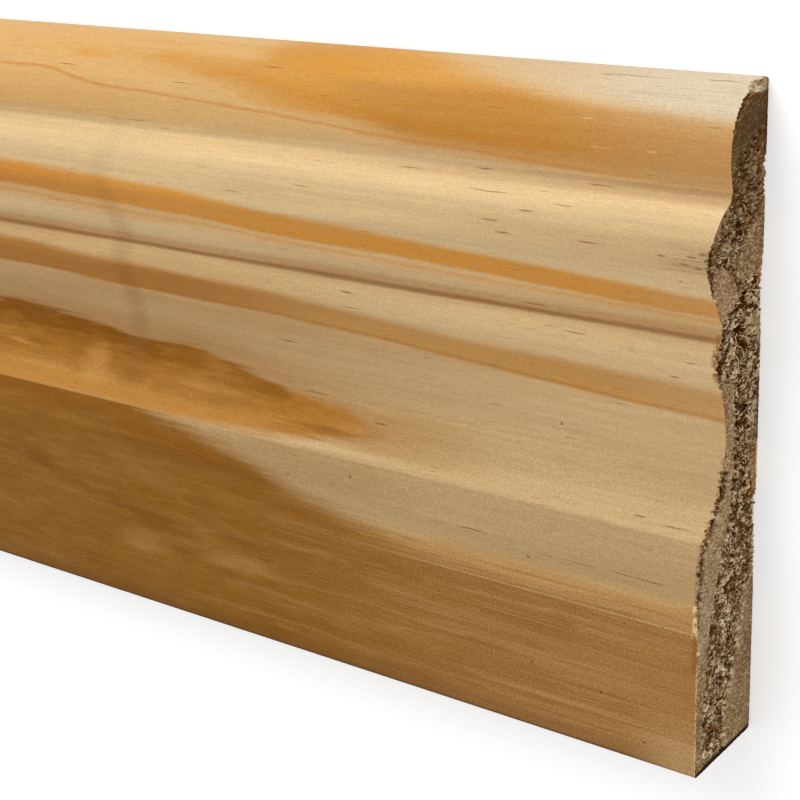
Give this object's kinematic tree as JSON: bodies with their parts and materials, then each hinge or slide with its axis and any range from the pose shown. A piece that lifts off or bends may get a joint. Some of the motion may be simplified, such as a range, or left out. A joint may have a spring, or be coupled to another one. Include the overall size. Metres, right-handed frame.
{
  "type": "skirting board length",
  "caption": "Long straight pine skirting board with a flat back, a rounded bead, torus and roll above a shallow cove, and a plain plinth below, square sawn ends.",
  "frame": {"origin": "under the middle of the board, on the surface that its flat back lies on", "axes": "+X along the board, +Y across its face from the foot edge to the top edge, +Z out of the back towards the moulded face"},
  "size_m": [2.4, 0.119, 0.021],
  "materials": {
    "pine": "bare planed softwood, satin, with rough sawn ends"
  },
  "bodies": {
    "root": {"skirting_board": "pine"}
  },
  "joints": []
}
